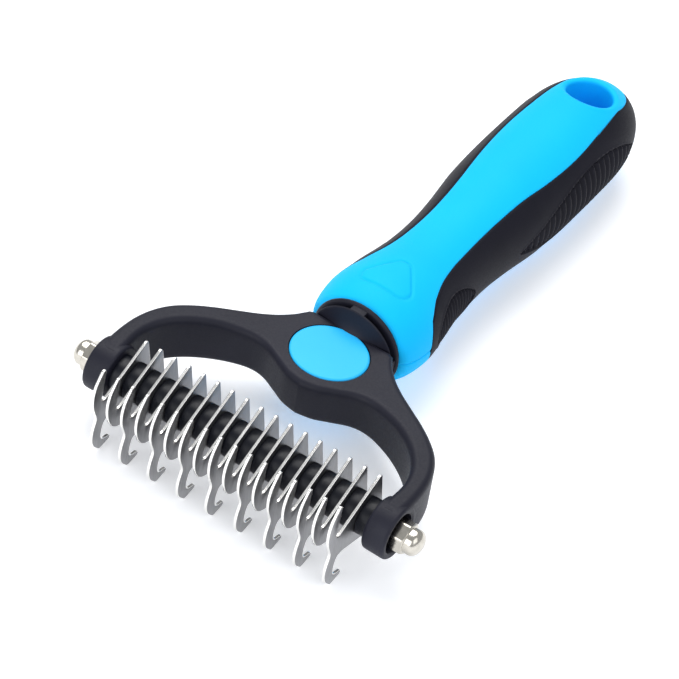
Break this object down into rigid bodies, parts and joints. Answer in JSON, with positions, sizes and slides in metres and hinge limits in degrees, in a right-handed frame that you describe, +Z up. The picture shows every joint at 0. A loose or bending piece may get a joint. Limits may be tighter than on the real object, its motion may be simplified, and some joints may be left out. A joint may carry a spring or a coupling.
{
  "type": "dematting comb",
  "caption": "Hand-held dematting comb: a bar of claw and hook blades in a two-armed yoke, on a soft-grip handle with a hanging hole.",
  "frame": {"origin": "centre of the hanging hole, which the comb is hung by", "axes": "+X along the comb bar, +Y along the handle away from the bar, +Z up through the badge"},
  "size_m": [0.094, 0.175, 0.0272],
  "materials": {
    "black_abs": "fine moulded texture, satin",
    "blue_badge": "smooth satin inlay with a bevelled rim",
    "blade_steel": "satin stamped faces, polished rounded edges",
    "black_ring": "smooth semi-gloss",
    "steel_rod": "bright drawn rod",
    "nickel_plate": "bright nickel plating",
    "blue_shell": "soft-touch matt",
    "black_grip": "soft moulded elastomer, ribbed pads",
    "core_plastic": "plain, hidden"
  },
  "bodies": {
    "comb": {"yoke": "black_abs", "badge_top": "blue_badge", "badge_bottom": "blue_badge", "comb_shaft": "steel_rod", "blade_01": "blade_steel", "blade_02": "blade_steel", "blade_03": "blade_steel", "blade_04": "blade_steel", "blade_05": "blade_steel", "blade_06": "blade_steel", "blade_07": "blade_steel", "blade_08": "blade_steel", "blade_09": "blade_steel", "blade_10": "blade_steel", "blade_11": "blade_steel", "blade_12": "blade_steel", "blade_13": "blade_steel", "blade_14": "blade_steel", "blade_15": "blade_steel", "blade_16": "blade_steel", "blade_17": "blade_steel", "spacer_01": "black_ring", "spacer_02": "black_ring", "spacer_03": "black_ring", "spacer_04": "black_ring", "spacer_05": "black_ring", "spacer_06": "black_ring", "spacer_07": "black_ring", "spacer_08": "black_ring", "spacer_09": "black_ring", "spacer_10": "black_ring", "spacer_11": "black_ring", "spacer_12": "black_ring", "spacer_13": "black_ring", "spacer_14": "black_ring", "spacer_15": "black_ring", "spacer_16": "black_ring", "end_spacer_left": "black_ring", "end_spacer_right": "black_ring", "handle_core": "core_plastic", "tang_pin": "steel_rod", "handle_top_shell": "blue_shell", "handle_bottom_shell": "blue_shell", "side_grip": "black_grip"},
    "washer_left": {"washer_left": "nickel_plate"},
    "cap_nut_left": {"cap_nut_left": "nickel_plate"},
    "washer_right": {"washer_right": "nickel_plate"},
    "cap_nut_right": {"cap_nut_right": "nickel_plate"}
  },
  "joints": [
    {"name": "washer_left_slide", "type": "slide", "parent": "comb", "child": "washer_left", "axis": [-1, 0, 0], "range_m": [0, 0.0042]},
    {"name": "cap_nut_left_turn", "type": "hinge", "parent": "washer_left", "child": "cap_nut_left", "pos_m": [-0.038, -0.1454, 0], "axis": [-1, 0, 0], "range_deg": [0, 2160]},
    {"name": "washer_right_slide", "type": "slide", "parent": "comb", "child": "washer_right", "axis": [1, 0, 0], "range_m": [0, 0.0042]},
    {"name": "cap_nut_right_turn", "type": "hinge", "parent": "washer_right", "child": "cap_nut_right", "pos_m": [0.038, -0.1454, 0], "axis": [1, 0, 0], "range_deg": [0, 2160]}
  ],
  "couplings": [
    {"joint": "cap_nut_left_turn", "follows": "washer_left_slide", "rad_per_m": 8976},
    {"joint": "cap_nut_right_turn", "follows": "washer_right_slide", "rad_per_m": 8976}
  ]
}
